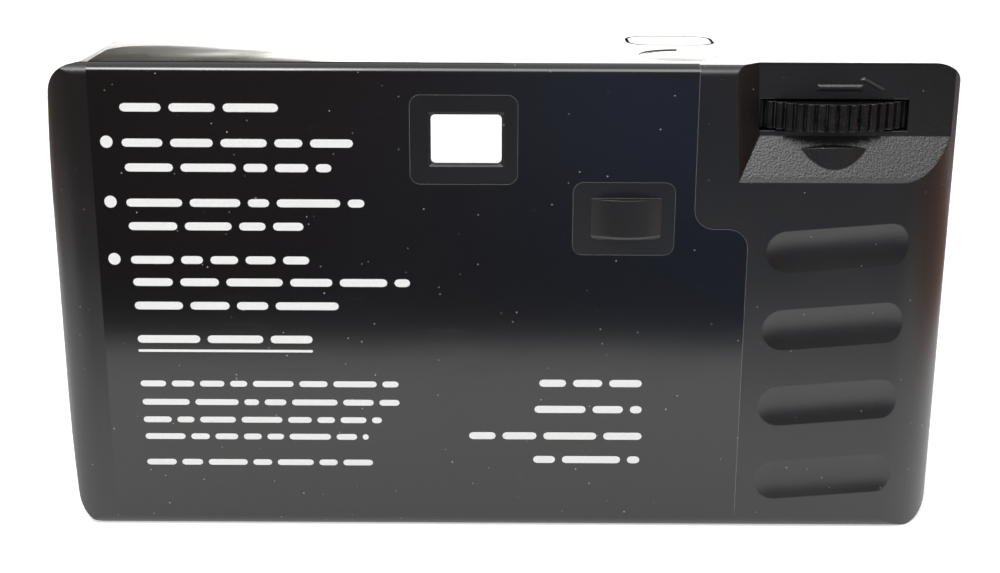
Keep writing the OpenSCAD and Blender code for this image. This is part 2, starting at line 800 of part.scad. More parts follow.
module main_frame() in_frame(dark) {
    shelf_left = flash_x - flash_w/2 - 1;
    supply_right = supply_x + supply_chamber_r;
    difference() {
        union() {
            difference() {
                gate_plate();
                block([-gate_w/2, 0, film_z - gate_h/2], [gate_w/2, film_end_d + 3, film_z + gate_h/2]);
                // Window for the sprocket's teeth
                sprocket_room();
            }
            film_chambers();
            light_tunnel();
            deck();
            battery_bay();
            // Web between the supply chamber, the shelf and the deck
            block([supply_right - 0.5, supply_d - 5, shelf_z - shelf_t],
                [supply_right + 2, supply_d + 5, deck_top]);
            // Shelf under the flash reflector
            block([shelf_left, supply_d, shelf_z - shelf_t], [supply_right + 1, inner_front - 1, shelf_z]);
            // Standoffs of the flash board
            for (z = [film_z - 12, film_z + 12])
                bar([supply_x, z], 1.5, supply_d + supply_chamber_r + frame_t/2, board_d);
        }
        // Notch in the battery bay's roof for the left contact's tongue
        block([-bay_x - 0.1, board_d - 1.7, battery_z], [-bay_x + contact_t + 0.1, board_d, bay_roof + 3]);
        // Room for the flash board's upper arm
        block([board_split_x - 0.3, board_d - 0.3, shelf_z - 4], [supply_right + 2, body_d, body_h]);
    }
}

// Wheel with a knurled rim, socket hub for the spool's knob and an upper pin
module thumbwheel() in_frame(black) {
    pitch = 360/knurls;
    root = wheel_r - knurl_h;
    web_low = wheel_low + 1.6;
    translate([wheel_x, wheel_d, 0]) {
        difference() {
            union() {
                along_z(wheel_low, wheel_top) polygon([for (i = [0 : knurls - 1], s = [0 : 0.2 : 0.8])
                    (root + knurl_h*sqrt(sin(180*s)))*[cos((i + s)*pitch), sin((i + s)*pitch)]]);
                cylinder_between(hub_r, cassette_top + gap, wheel_low);
                cylinder_between(shaft_r, wheel_low, inner_top - wall);
            }
            cylinder_between(spool_r + 0.2, cassette_top, wheel_low);
            difference() {
                cylinder_between(root - 1.8, web_low, wheel_top + 1);
                cylinder_between(3.5, web_low - 1, wheel_top + 2);
            }
        }
        block([-spool_r + 0.6, -0.8, cassette_top + knob_h - 2.2], [spool_r - 0.6, 0.8, wheel_low + 0.2]);
    }
}
module cylinder_between(r, z0, z1) translate([0, 0, z0]) cylinder(r = r, h = z1 - z0);

// Springy finger that lets the wheel turn one way, lifted clear of the knurl
module anti_reverse_pawl() in_frame(dark) translate([wheel_x, wheel_d, 0]) {
    tip = wheel_r + gap;
    along_z(chamber_top + plate_t, wheel_top) translate([-9.6, wheel_r - 1]) square([2.7, 2]);
    along_z(wheel_low + 0.4, wheel_top)
        polygon([[-7.2, tip - 0.1], [-3, tip - 0.25], [-2.8, tip + 0.25], [-7.2, tip + 0.5]]);
}

cap_t = 0.3;
cap_skirt = 2.5;
shell_r = cassette_r - cap_t - 0.02;
shell_t = 0.3;
lip_x = wheel_x - 11.2;
lip_l = 5.6;
function film_line(x) = film_end_d + (x - film_half)*tan(film_tilt);
// Depth of the film's middle: bent over the gate, straight beyond it
function film_path(x) = abs(x) > film_half ? film_line(abs(x))
    : film_d + film_bend_r - sqrt(film_bend_r*film_bend_r - x*x);

// Rolled sheet with the film lip
module cassette_shell() in_frame("#3a3d42") {
    z0 = cassette_z + cap_t;
    z1 = cassette_top - cap_t;
    difference() {
        union() {
            post([wheel_x, wheel_d], shell_r, z0, z1);
            translate([lip_x, film_line(lip_x), 0]) rotate(film_tilt)
                along_z(film_low - 1.5, film_high + 1.5) translate([0, -0.8]) square([lip_l, 1.6]);
        }
        post([wheel_x, wheel_d], shell_r - shell_t, z0 - 1, z1 + 1);
        translate([lip_x, film_line(lip_x), 0]) rotate(film_tilt)
            along_z(film_low - 0.5, film_high + 0.5) translate([-1, -0.25]) square([lip_l + 4, 0.5]);
    }
}

module cassette_caps() in_frame(steel) translate([wheel_x, wheel_d, cassette_z + cassette_h/2])
    for (flip = [0, 1]) mirror([0, 0, flip]) difference() {
        cylinder_between(cassette_r, cassette_h/2 - cap_skirt, cassette_h/2);
        cylinder_between(shell_r + 0.02, 0, cassette_h/2 - cap_t);
        cylinder_between(spool_r + fit, 0, cassette_h);
    }

// Spool with two flanges and the slotted knob that the wheel turns
module cassette_spool() in_frame(dark) translate([wheel_x, wheel_d, 0]) {
    low = cassette_z + cap_t + gap;
    high = cassette_top - cap_t - gap;
    difference() {
        union() {
            cylinder_between(spool_r, cassette_z, cassette_top + knob_h);
            cylinder_between(shell_r - shell_t - gap, low, low + 0.6);
            cylinder_between(shell_r - shell_t - gap, high - 0.6, high);
        }
        block([-spool_r - 1, -1, cassette_top + knob_h - 2.6], [spool_r + 1, 1, cassette_top + knob_h + 1]);
        cylinder_between(3.2, cassette_z - 1, cassette_z + 4);
    }
}

module film_ring(at, r0, r1) translate([at[0], at[1], 0]) difference() {
    cylinder_between(r1, film_low, film_high);
    cylinder_between(r0, film_low - 1, film_high + 1);
}

module wound_film() in_frame(film_brown) film_ring([wheel_x, wheel_d], spool_r + 0.02, spool_r + 1.8);
module film_roll() in_frame(film_brown) film_ring([supply_x, supply_d], 4.02, roll_r);

module supply_spool() in_frame(dark) translate([supply_x, supply_d, 0]) {
    cylinder_between(4, film_low - flange_gap, film_high + flange_gap);
    cylinder_between(supply_pivot_r, supply_low - frame_t, supply_high + frame_t);
    for (z = [film_low - flange_gap - flange_t, film_high + flange_gap])
        cylinder_between(supply_chamber_r - 0.5, z, z + flange_t);
}

// Film between the roll and the cassette, open where the sprocket's teeth run
module film_strip() in_frame(film_brown) {
    steps = 40;
    left = supply_x - (roll_r + gap)*sin(film_tilt);
    right = lip_x + 1.5;
    places = [for (i = [0 : steps]) left + (right - left)*i/steps];
    hole = [1.98, 2.8];
    difference() {
        along_z(film_low, film_high) polygon(concat([for (x = places) [x, film_path(x) - film_t/2]],
            [for (i = [steps : -1 : 0]) [places[i], film_path(places[i]) + film_t/2]]));
        sprocket_room();
        for (i = [-4 : 4], edge = [film_low + 2 + hole[1]/2, film_high - 2 - hole[1]/2])
            translate([i*perforation_pitch, 0, edge]) cube([hole[0], 4*film_end_d, hole[1]], center = true);
    }
}

// Shaft that the film turns: sprocket below the deck, charging cam and counter finger above it
module sprocket_wheel() in_frame(dark) translate([sprocket_x, sprocket_d, 0]) {
    pitch = 360/sprocket_teeth;
    root = sprocket_r - 0.3;
    finger_z = dial_top - dial_t;
    reach = norm([dial_x - sprocket_x, dial_d - sprocket_d]) - dial_r - gap;
    cylinder_between(shaft_r, sprocket_z - gap - 1.2, dial_top);
    cylinder_between(root, sprocket_z, sprocket_z + sprocket_t);
    along_z(sprocket_z + 0.6, sprocket_z + sprocket_t - 0.6) for (i = [0 : sprocket_teeth - 1])
        rotate(i*pitch) polygon([[root - 1, -0.9], [sprocket_tip_r - 0.1, -0.5], [sprocket_tip_r, 0],
            [sprocket_tip_r - 0.1, 0.5], [root - 1, 0.9]]);
    translate([cam_offset, 0, 0]) cylinder_between(cam_r, cam_z, cam_z + cam_h);
    along_z(finger_z, dial_top) polygon([[0, -1.2], [reach, -0.35], [reach, 0.35], [0, 1.2]]);
}

// Toothed disc with one step for each picture
module counter_dial() in_frame("#e8e6df") translate([dial_x, dial_d, 0]) {
    step = 360/dial_marks;
    low = dial_top - dial_t;
    // Places in a step and how deep the rim is cut there
    notch = [[0, 0.5], [0.25, 0], [0.75, 0]];
    difference() {
        union() {
            along_z(low, low + 0.8) polygon([for (i = [0 : dial_marks - 1], s = notch)
                (dial_r - s[1])*[cos((i + s[0])*step), sin((i + s[0])*step)]]);
            cylinder_between(dial_r - 0.7, low, dial_top);
        }
        cylinder_between(dial_pin_r + fit, low - 1, dial_top + 1);
    }
}

// Slightly domed round window, held by a flange under the top
module counter_window() in_frame(clear) translate([window_x, window_d, 0]) {
    rise = 0.35;
    r = window_dia/2;
    dome_r = arc_radius(r, rise);
    cylinder_between(r + 0.9, inner_top - window_flange, inner_top);
    intersection() {
        cylinder_between(r, inner_top - 0.2, body_h + 1);
        translate([0, 0, body_h + rise - dome_r]) sphere(dome_r, $fn = fine);
    }
}

// Plate over the levers, carried by posts on the deck
module mechanism_cover() in_frame(dark) difference() {
    along_z(cover_z, cover_z + cover_t)
        round_rect([cover_left, film_end_d + 2.6], [dial_x - 0.2, board_d + 2.6], all_corners(1.5));
    post([sprocket_x, sprocket_d], shaft_r + fit, cover_z - 1, cover_z + 2);
    post([button_x, button_y], stem_r + fit, cover_z - 1, cover_z + 2);
    post([dial_x, dial_d], dial_pin_r + 1.2, cover_z - 1, cover_z + 2);
    post([wheel_x, wheel_d], wheel_r + 2, cover_z - 1, cover_z + 2);
}

module shutter_button() in_frame("#2f3033") translate([button_x, button_y, 0]) {
    top = body_h + button_h;
    flange_top = inner_top - gap;
    size = [button_w, button_d];
    along_z(flange_top - flange_h, top - 0.5) round_box([0, 0], size, button_corner_r);
    along_z(top - 0.6, top) round_box([0, 0], size - [0.8, 0.8], button_corner_r - 0.4);
    along_z(flange_top - flange_h, flange_top)
        round_box([0, 0], size + 2*[flange_w, flange_w], button_corner_r + flange_w);
    cylinder_between(stem_r, stem_low + stem_r - stem_tip_r, flange_top);
    // Cone that pushes the lock lever aside
    translate([0, 0, stem_low]) cylinder(r1 = stem_tip_r, r2 = stem_r, h = stem_r - stem_tip_r);
}

// Bent strip that lifts the button again
module button_leaf() in_frame(steel) {
    t = 0.25;
    z0 = cover_z + cover_t;
    z1 = inner_top - gap - flange_h - 0.1;
    x0 = button_x - 11;
    x1 = button_x - stem_r - 1;
    along_y(button_y - 1.5, button_y + 1.5)
        polygon([[x0, z0], [x0 + 3, z0], [x1 - 1.2, z1 - t], [x1, z1 - t], [x1, z1], [x1 - 1.4, z1],
            [x0 + 2.8, z0 + t], [x0, z0 + t]]);
}

// Lever arm with round ends between two places
module arm(from, to, r) {
    run = to - from;
    translate(from) circle(r);
    translate(to) circle(r);
    translate(from) rotate(atan2(run[1], run[0])) translate([0, -r]) square([norm(run), 2*r]);
}

// Catch that holds the charged striker until the button moves it
module lock_lever() in_frame(steel) difference() {
    along_z(lock_z, lock_z + lever_t) {
        arm(lock_at, lock_at + [0, lock_reach], lock_arm_r);
        arm(lock_at, lock_at + [-catch_l, 1], 0.9);
        translate(lock_at) circle(post_r + 0.9);
    }
    post(lock_at, post_r + fit, lock_z - 1, lock_z + 3);
}

// Charged by the cam, its finger reaches down in front of the deck to the blade
finger_d = blade_d + blade_t + gap;
module striker_lever() in_frame(dark) {
    follower = [sprocket_x - cam_r - cam_offset - follower_r - gap, sprocket_d + 0.5];
    tip = [blade_pivot[0] + 1, finger_d + 0.5];
    finger_low = spring_z + 1.4;
    difference() {
        along_z(striker_z, striker_z + cam_h) {
            arm(striker_at, follower, follower_r);
            arm(striker_at, tip, follower_r);
            translate(striker_at) circle(post_r + 1);
        }
        post(striker_at, post_r + fit, striker_z - 1, striker_z + 4);
        depth_slice(finger_d + 1, body_d) block([left_x, 0, 0], [right_x, body_d, body_h]);
    }
    block([tip[0] - follower_r, finger_d, finger_low], [tip[0] + follower_r, finger_d + 1, striker_z + 1]);
}

// Points of one ring of a coil's wire
function ring_points(middle, angle, wire_r, sides) = [for (k = [0 : sides - 1])
    middle + wire_r*[cos(360*k/sides)*cos(angle), cos(360*k/sides)*sin(angle), sin(360*k/sides)]];

// Open coil of round wire, standing on its lower turn
module coil(coil_r, wire_r, turns, height) {
    sides = 6;
    per_turn = 12;
    rings = turns*per_turn;
    rise = height - 2*wire_r;
    turn = 360/per_turn;
    points = [for (i = [0 : rings]) each ring_points(
        [coil_r*cos(i*turn), coil_r*sin(i*turn), wire_r + rise*i/rings], i*turn, wire_r, sides)];
    walls = [for (i = [0 : rings - 1], k = [0 : sides - 1]) each [
        [i*sides + k, (i + 1)*sides + k, i*sides + (k + 1)%sides],
        [(i + 1)*sides + k, (i + 1)*sides + (k + 1)%sides, i*sides + (k + 1)%sides]]];
    start = [for (k = [1 : sides - 2]) [0, k, k + 1]];
    end = [for (k = [1 : sides - 2]) [rings*sides, rings*sides + k + 1, rings*sides + k]];
    polyhedron(points, concat(walls, start, end));
}

module striker_spring() in_frame(steel) translate([striker_at[0], striker_at[1], striker_z + cam_h + 0.1])
    coil(post_r + 0.6, 0.2, 3, 2.4);

// Leaf with an arm and a tab, turning on a pin beside the lens port
module shutter_blade() in_frame("#45464a") {
    difference() {
        along_y(blade_d, blade_d + blade_t) {
            translate(lens_at) circle(blade_r);
            arm(lens_at, blade_pivot, 1.6);
            arm(blade_pivot, blade_pivot + [0, blade_tab_l], 1);
            translate(blade_pivot) circle(pivot_r + 1);
        }
        bar(blade_pivot, pivot_r + fit, blade_d - 1, blade_d + 1);
    }
}

module shutter_spring() in_frame(steel)
    translate([blade_pivot[0] + 1 + gap, blade_d - 0.1, spring_z]) rotate([0, 90, 0])
        coil(0.45, 0.1, 6, spring_post_x - blade_pivot[0] - 1 - gap);

// Plate with the fixed stop and the lens seat
module aperture_plate() in_frame(black) difference() {
    union() {
        block([unit_left, plate_d, unit_low], [unit_right, seat_d, unit_high]);
        bar(lens_at, lens_dia/2 + seat_t - 0.2, plate_d, seat_d + seat_h);
    }
    bar(lens_at, lens_dia/2 + 0.05, seat_d, body_d);
    bar(lens_at, aperture_dia/2, plate_d - 1, body_d);
}

// Meniscus lens, bulging to the front
module taking_lens() in_frame(clear) {
    r = lens_dia/2;
    front_r = 12;
    back_r = 24;
    edge_d = seat_d + seat_h - 0.9;
    front_rise = front_r - sqrt(front_r*front_r - r*r);
    intersection() {
        bar(lens_at, r, seat_d, body_d);
        translate([0, edge_d + front_rise - front_r, film_z]) rotate([-90, 0, 0]) sphere(front_r, $fn = 200);
        difference() {
            bar(lens_at, r + 1, seat_d + 0.02, body_d);
            translate([0, seat_d + 0.4 - back_r, film_z]) rotate([-90, 0, 0]) sphere(back_r, $fn = 200);
        }
    }
}

module lens_retainer() in_frame(black) {
    d0 = seat_d + seat_h;
    r = lens_dia/2;
    difference() {
        bar(lens_at, r + seat_t - 0.2, d0, d0 + retainer_t);
        translate([0, d0 - 0.1, film_z]) rotate([-90, 0, 0])
            cylinder(r1 = r - 0.5, r2 = r + 0.1, h = retainer_t + 0.2);
    }
}

// Eyepiece with a bulged back face
module viewfinder_rear_lens() in_frame(clear) {
    bulge_r = 22;
    d0 = wall + 0.05;
    intersection() {
        along_y(d0, wall + finder_lens_t) round_box(finder_at, [tube_w + 0.8, tube_h + 0.8], 0.8);
        translate([finder_x, d0 + bulge_r, finder_z]) sphere(bulge_r, $fn = fine);
    }
}

// Front lens, hollowed to the rear
module viewfinder_front_lens() in_frame(clear) {
    hollow_r = 25;
    hollow_d = 0.7;
    d0 = inner_front - 0.35;
    difference() {
        along_y(d0, body_d - 0.25) round_box(finder_front_at, finder_front + [1, 1], 1);
        translate([finder_front_at[0], d0 + hollow_d - hollow_r, finder_front_at[1]])
            sphere(hollow_r, $fn = 200);
    }
}

module flash_board() in_frame("#7a6a3c") along_y(board_d, board_front) {
    left = left_x + 4.5;
    arm_low = unit_low + 0.7;
    translate([left, board_low]) square([board_split_x - left, shelf_z - shelf_t - gap - board_low]);
    translate([board_split_x - 1, arm_low])
        square([board_right - board_split_x + 1, inner_top - 1.5 - arm_low]);
}

// Can with a rolled groove
module flash_capacitor() in_frame("#30343a") {
    low = unit_low + 1.7;
    high = deck_top - deck_t - 1.2;
    d = board_d - capacitor_r - 0.1;
    translate([capacitor_x, d, 0]) difference() {
        cylinder_between(capacitor_r, low, high);
        translate([0, 0, low + 2.5]) rotate_extrude() translate([capacitor_r + 0.3, 0]) circle(groove_r);
    }
}

// Laminated core with a bobbin
module transformer() in_frame("#6e4a2b") {
    d1 = board_d - 0.1;
    low = deck_top + 1;
    for (z = [low, low + core[2] - core_t])
        block([capacitor_x - core[0]/2, d1 - core[1], z], [capacitor_x + core[0]/2, d1, z + core_t]);
    post([capacitor_x, d1 - core[1]/2], bobbin_r, low + core_t/2, low + core[2] - core_t/2);
}

module trigger_coil() in_frame("#31343b") {
    cap_r = trigger_r + 0.3;
    cap_l = 1;
    translate([board_split_x - trigger_l - 2, board_front + cap_r + 0.05, film_z + 11]) rotate([0, 90, 0]) {
        cylinder_between(trigger_r, 0, trigger_l);
        for (z = [0, trigger_l - cap_l]) cylinder_between(cap_r, z, z + cap_l);
    }
}

// Row of resistors, a diode and a film capacitor on the board
module board_components() in_frame("#b7925a") {
    cap_r = resistor_r + 0.15;
    cap_l = 1.4;
    left = left_x + 8;
    for (i = [0 : 3])
        translate([left + 0.5 + i*resistor_pitch, board_front + cap_r + 0.05, board_low + 5.8]) {
            cylinder_between(resistor_r, 0, resistor_l);
            for (z = [0, resistor_l - cap_l]) cylinder_between(cap_r, z, z + cap_l);
        }
    translate([left, board_front, film_z + 3]) cube(chip);
    post([left + chip[0]/2, board_front + diode_r + 0.2], diode_r, film_z - 6, film_z);
}

// Glass tube with two end caps
module flash_tube() in_frame(clear) translate([flash_x, glass_d, flash_z]) rotate([0, 90, 0]) {
    half = flash_w/2 - 0.2;
    cylinder_between(glass_r, -half, half);
    for (z = [-half, half - glass_cap_l]) cylinder_between(glass_r + 0.2, z, z + glass_cap_l);
}

// Section of the reflector's trough
reflector_front = inner_front - 0.1;
module trough(grow) {
    straight = 2.4;
    r = reflector_r - reflector_t + grow;
    translate([reflector_front - straight, flash_z]) circle(r);
    translate([reflector_front - straight, flash_z - r]) square([straight + 1, 2*r]);
}

// Trough that opens to the window, with end walls that hold the tube
module flash_reflector() in_frame(steel) {
    half = flash_w/2 - 0.2;
    inner = half - reflector_t;
    difference() {
        depth_slice(0, reflector_front) along_x(flash_x - half, flash_x + half) trough(reflector_t);
        along_x(flash_x - inner, flash_x + inner) trough(0);
        translate([flash_x, glass_d, flash_z]) rotate([0, 90, 0])
            cylinder_between(glass_r + 0.2 + fit, -half - 1, half + 1);
    }
}

// Clear pane with upright prism ribs on its inner face
module flash_window() in_frame(clear) {
    d0 = inner_front;
    size = [flash_w - 0.16, flash_h - 0.16];
    ribs = 12;
    pitch = (flash_w - 3)/ribs;
    foot = pitch/2 - 0.1;
    half = flash_h/2 - 1.2;
    difference() {
        along_y(d0, body_d) round_box([flash_x, flash_z], size, 1.4);
        for (i = [0 : ribs - 1]) along_z(flash_z - half, flash_z + half)
            translate([flash_x + (i + 0.5 - ribs/2)*pitch, d0])
                polygon([[-pitch/2, -0.2], [-foot, 0], [0, 0.55], [foot, 0], [pitch/2, -0.2]]);
    }
}

// Lamp on the board with its light pipe through the top
module ready_lamp() in_frame("#e08a3c") translate([lamp_at[0], lamp_at[1], 0]) {
    cylinder_between(lamp_r + 0.6, inner_top - 6, inner_top - 0.2);
    cylinder_between(lamp_r, inner_top - 0.3, body_h);
}

module flash_button() in_frame("#2f3033") {
    r = flash_button_dia/2;
    flange_front = inner_front - gap;
    bar(flash_button_at, r, flange_front - 0.9, body_d + 0.4);
    bar(flash_button_at, r - 0.5, body_d, body_d + 0.8);
    bar(flash_button_at, r + 1, flange_front - 0.9, flange_front);
    bar(flash_button_at, 2, board_front + 1.4 + flash_travel, flange_front);
}

// Domed contact under the flash button
module flash_switch_contact() in_frame(brass) {
    rise = 1.1;
    r = 3;
    dome_r = arc_radius(r, rise);
    bar(flash_button_at, r + 0.6, board_front, board_front + 0.25);
    intersection() {
        bar(flash_button_at, r + 0.5, board_front, board_front + 2);
        translate([flash_button_at[0], board_front + rise - dome_r, flash_button_at[1]])
            rotate([-90, 0, 0]) sphere(dome_r);
    }
}

// Pair of leaves on the exposure unit's front wall that the opening blade reaches
module sync_contact() in_frame(brass) {
    d0 = tunnel_front + frame_t;
    for (x = [unit_right - 2.2, unit_right - 1]) {
        block([x, d0, unit_low + 0.4], [x + 0.8, d0 + 0.3, unit_low + 7]);
        block([x, d0, unit_low + 6], [x + 0.8, d0 + 0.9, unit_low + 7]);
    }
}

// Cell with its knob on the right
module battery() in_frame("#4d5a66") translate([0, battery_d, battery_z]) rotate([0, 90, 0]) {
    cylinder_between(battery_r, -battery_l/2, battery_l/2 - 0.4);
    cylinder_between(battery_r - 0.8, -battery_l/2, battery_l/2);
    cylinder_between(2.7, 0, battery_l/2 + knob_l);
}

module contact_plate(x0) translate([x0, battery_d - contact_w/2, battery_z - contact_w/2])
    cube([contact_t, contact_w, contact_w]);

module battery_contact_plus() in_frame(brass) {
    front = tunnel_front + frame_t;
    z = battery_z + battery_r - 0.1;
    contact_plate(bay_x - contact_t);
    // Strip along the frame's front to the flash board
    block([bay_x - contact_t, battery_d, battery_z], [bay_x, front + 0.35, z + 0.3]);
    block([board_right - 1, front + 0.05, z], [bay_x, front + 0.35, z + 1]);
    block([board_right - 1, front + 0.05, z], [board_right - 0.2, front + 0.35, z + 4]);
}

module battery_contact_minus() in_frame(brass) {
    contact_plate(-bay_x);
    // Pressed dimple that bears on the cell
    translate([-bay_x + contact_t, battery_d, battery_z]) rotate([0, 90, 0])
        cylinder(r1 = 3, r2 = 2, h = knob_l);
    block([-bay_x, board_d - 1.6, battery_z + 3], [-bay_x + contact_t, board_d - 0.1, unit_low + 2.7]);
}

back_cover();
front_cover();
wrap_label();
main_frame();
thumbwheel();
anti_reverse_pawl();
cassette_shell();
cassette_caps();
cassette_spool();
wound_film();
supply_spool();
film_roll();
film_strip();
sprocket_wheel();
counter_dial();
counter_window();
mechanism_cover();
shutter_button();
button_leaf();
lock_lever();
striker_lever();
striker_spring();
shutter_blade();
shutter_spring();
aperture_plate();
taking_lens();
lens_retainer();
viewfinder_rear_lens();
viewfinder_front_lens();
flash_board();
flash_capacitor();
transformer();
trigger_coil();
board_components();
flash_tube();
flash_reflector();
flash_window();
ready_lamp();
flash_button();
flash_switch_contact();
sync_contact();
battery();
battery_contact_plus();
battery_contact_minus();
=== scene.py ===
"""Looks of the single-use film camera: materials, label print, arrow, dial numbers, leaf and studio."""
import math
import random

import bmesh
import bpy
from mathutils import Matrix, Vector


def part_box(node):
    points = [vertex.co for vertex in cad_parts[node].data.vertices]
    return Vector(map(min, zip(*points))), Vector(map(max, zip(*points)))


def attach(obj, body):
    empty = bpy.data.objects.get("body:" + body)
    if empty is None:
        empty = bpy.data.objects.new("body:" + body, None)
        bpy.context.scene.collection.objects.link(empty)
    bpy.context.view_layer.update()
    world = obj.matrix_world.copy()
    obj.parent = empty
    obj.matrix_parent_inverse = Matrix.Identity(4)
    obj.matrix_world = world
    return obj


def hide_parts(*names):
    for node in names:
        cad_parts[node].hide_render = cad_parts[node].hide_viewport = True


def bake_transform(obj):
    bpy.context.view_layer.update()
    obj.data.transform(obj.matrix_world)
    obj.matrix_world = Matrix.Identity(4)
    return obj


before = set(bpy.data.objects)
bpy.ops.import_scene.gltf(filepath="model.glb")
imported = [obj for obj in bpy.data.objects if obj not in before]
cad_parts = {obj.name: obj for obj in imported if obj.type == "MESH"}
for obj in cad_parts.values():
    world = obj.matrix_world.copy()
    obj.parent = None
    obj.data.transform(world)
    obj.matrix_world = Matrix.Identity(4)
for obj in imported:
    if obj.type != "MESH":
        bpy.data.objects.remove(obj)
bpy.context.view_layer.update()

MM = 0.001

# Places on the part, in millimetres
LABEL_LEFT, LABEL_Y, LABEL_FOOT = (value/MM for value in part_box("wrap_label")[0])
LABEL_T = 0.12
BACK_Y = LABEL_Y + LABEL_T
TOP_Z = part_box("back_cover")[1][2]/MM
RECESS_X = 29.0
RECESS_Z = 48.1
RECESS_DEPTH = 3.2
PANEL_Y = BACK_Y + RECESS_DEPTH


# Shader helpers

class Shader:
    """A material with one Principled surface and short calls for the nodes that feed it."""

    sockets = {
        "color": "Base Color",
        "rough": "Roughness",
        "metal": "Metallic",
        "normal": "Normal",
        "ior": "IOR",
        "clear": "Transmission Weight",
        "coat": "Coat Weight",
        "coat_rough": "Coat Roughness",
    }

    def __init__(self, name):
        self.material = bpy.data.materials.new(name)
        self.material.use_nodes = True
        self.tree = self.material.node_tree
        self.surface = self.tree.nodes["Principled BSDF"]
        place = self.tree.nodes.new("ShaderNodeTexCoord").outputs["Object"]
        # Object coordinates in millimetres
        self.place = self.vector("MULTIPLY", place, (1/MM, 1/MM, 1/MM))

    def put(self, socket, value):
        if isinstance(value, bpy.types.NodeSocket):
            self.tree.links.new(value, socket)
        else:
            socket.default_value = value

    def node(self, kind, inputs, **settings):
        made = self.tree.nodes.new("ShaderNode" + kind)
        for name, value in settings.items():
            setattr(made, name, value)
        for key, value in inputs.items():
            self.put(made.inputs[key], value)
        return made

    def vector(self, operation, a, b):
        made = self.node("VectorMath", {0: a, 1: b}, operation=operation)
        return made.outputs["Value" if operation == "DOT_PRODUCT" else "Vector"]

    def plus(self, a, b):
        return self.node("Math", {0: a, 1: b}, operation="ADD").outputs[0]

    def times(self, a, b):
        return self.node("Math", {0: a, 1: b}, operation="MULTIPLY").outputs[0]

    def axis(self, name):
        return self.node("SeparateXYZ", {0: self.place}).outputs[name]

    def stretch(self, x, y, z):
        return self.vector("MULTIPLY", self.place, (x, y, z))

    def noise(self, scale, detail=3.0, rough=0.5, place=None):
        inputs = {"Vector": place or self.place, "Scale": scale, "Detail": detail, "Roughness": rough}
        return self.node("TexNoise", inputs).outputs["Fac"]

    def dust(self, per_mm=0.6, radius=0.13):
        """Share of small specks of uneven size, spread over the surface."""
        cells = self.node("TexVoronoi", {"Vector": self.place, "Scale": per_mm})
        chance = self.node("SeparateColor", {0: cells.outputs["Color"]}).outputs[0]
        size = self.span(chance, 0.0, 1.0, 0.3*radius*per_mm, radius*per_mm)
        return self.span(cells.outputs["Distance"], size, self.times(size, 0.4))

    def span(self, value, low, high, to_low=0.0, to_high=1.0):
        inputs = {0: value, 1: low, 2: high, 3: to_low, 4: to_high}
        return self.node("MapRange", inputs, clamp=True).outputs[0]

    def mix(self, share, a, b):
        return self.node("Mix", {0: share, 6: a, 7: b}, data_type="RGBA").outputs[2]

    def rounded(self, radius, samples=4):
        """Normal that rounds the edges off by a radius in millimetres."""
        return self.node("Bevel", {"Radius": radius*MM}, samples=samples).outputs[0]

    def edges(self, radius):
        """Share of an edge, from how far a rounded normal leaves the flat one: the mask for rubbed wear
        and for painted edge highlights.
        """
        flat = self.node("NewGeometry", {}).outputs["Normal"]
        return self.span(self.vector("DOT_PRODUCT", self.rounded(radius), flat), 0.995, 0.75)

    def bump(self, height, strength, depth, normal=None):
        inputs = {"Height": height, "Strength": strength, "Distance": depth*MM}
        if normal:
            inputs["Normal"] = normal
        return self.node("Bump", inputs).outputs[0]

    def finish(self, **values):
        for key, value in values.items():
            self.put(self.surface.inputs[self.sockets[key]], value)
        return self.material


def grey(value):
    return (value, value, value, 1.0)


# Materials of the part

def moulded(name, tone, rough, grain=0.25, wear_and_highlight=2.2, round_mm=0.12):
    """Moulded plastic with fine grain, cloudy gloss, lighter edges that are partly rubbed wear and partly
    painted highlight, and a few dust specks.
    """
    s = Shader(name)
    cloud = s.noise(0.09, 4.0)
    fine = s.noise(2.6, 2.0, 0.6)
    rubbed_and_highlight = s.times(s.edges(0.22), s.span(s.noise(0.6, 4.0), 0.35, 0.7))
    body = s.mix(cloud, grey(tone*0.8), grey(tone*1.25))
    # Lighter edges: rubbed wear, and on the wheel a painted highlight on the tooth tops
    body = s.mix(rubbed_and_highlight, body, grey(tone*wear_and_highlight))
    body = s.mix(s.times(s.dust(), 0.5), body, grey(0.45))
    uneven = s.plus(cloud, s.times(fine, 0.5))
    gloss = s.span(uneven, 0.3, 1.2, rough - 0.07, rough + 0.07)
    return s.finish(color=body, rough=gloss, normal=s.bump(fine, grain, 0.03, s.rounded(round_mm)))


def recess_share(s):
    """Share of the thumb recess: right of its left end, above its foot, between the back and the panel."""
    across = s.span(s.axis("X"), RECESS_X - 0.5, RECESS_X + 0.5)
    above = s.span(s.axis("Z"), RECESS_Z - 0.3, RECESS_Z + 0.3)
    behind_back = s.span(s.axis("Y"), BACK_Y + 0.05, BACK_Y + 0.4)
    before_panel = s.span(s.axis("Y"), PANEL_Y + 0.3, PANEL_Y + 0.1)
    return s.times(s.times(across, above), s.times(behind_back, before_panel))


